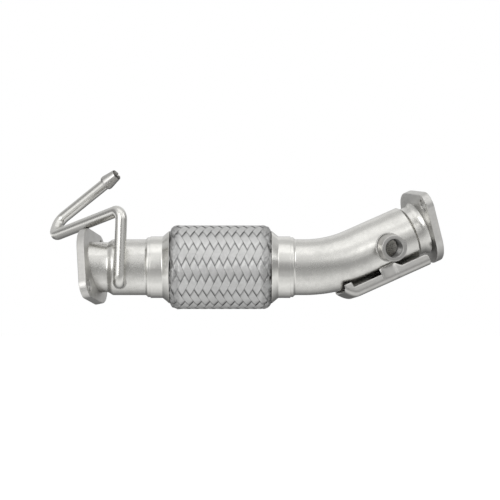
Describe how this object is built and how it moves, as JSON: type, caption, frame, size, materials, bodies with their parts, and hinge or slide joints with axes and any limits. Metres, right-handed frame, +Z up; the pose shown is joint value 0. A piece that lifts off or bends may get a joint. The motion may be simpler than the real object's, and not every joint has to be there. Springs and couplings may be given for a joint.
{
  "type": "exhaust pipe",
  "caption": "Front exhaust pipe with a braided flex joint, bolt flanges, a sensor boss, a support bracket and a thin bent pressure pipe ending in a hose nipple.",
  "frame": {"origin": "middle of the inlet flange's sealing face, on the axis of the inlet pipe", "axes": "+X along the inlet pipe towards the outlet, +Z up, +Y away from the side with the sensor boss"},
  "size_m": [0.3847, 0.1272, 0.1353],
  "materials": {
    "flange_steel": "stamped steel plate, fine matt surface",
    "tube_steel": "drawn stainless tube, satin",
    "line_steel": "thin drawn tube, satin",
    "barb_steel": "turned steel, fine rings",
    "collar_steel": "pressed stainless sheet, smooth",
    "braid_wire": "woven stainless wire, bright",
    "bellows_steel": "thin rolled stainless sheet",
    "boss_steel": "turned steel, satin",
    "bracket_steel": "pressed sheet, satin",
    "weld_bead": "weld bead, rippled"
  },
  "bodies": {
    "root": {"inlet_flange": "flange_steel", "inlet_flange_weld": "weld_bead", "inlet_pipe": "tube_steel", "pressure_pipe": "line_steel", "pressure_pipe_weld": "weld_bead", "hose_barb": "barb_steel", "inlet_sleeve": "collar_steel", "inlet_sleeve_weld": "weld_bead", "inlet_collar": "collar_steel", "flex_braid": "braid_wire", "flex_bellows": "bellows_steel", "flex_liner": "bellows_steel", "outlet_collar": "collar_steel", "outlet_sleeve": "collar_steel", "outlet_sleeve_weld": "weld_bead", "outlet_pipe": "tube_steel", "sensor_boss": "boss_steel", "sensor_boss_weld": "weld_bead", "support_bracket": "bracket_steel", "support_bracket_welds": "weld_bead", "outlet_flange": "flange_steel", "outlet_flange_weld": "weld_bead"}
  },
  "joints": []
}
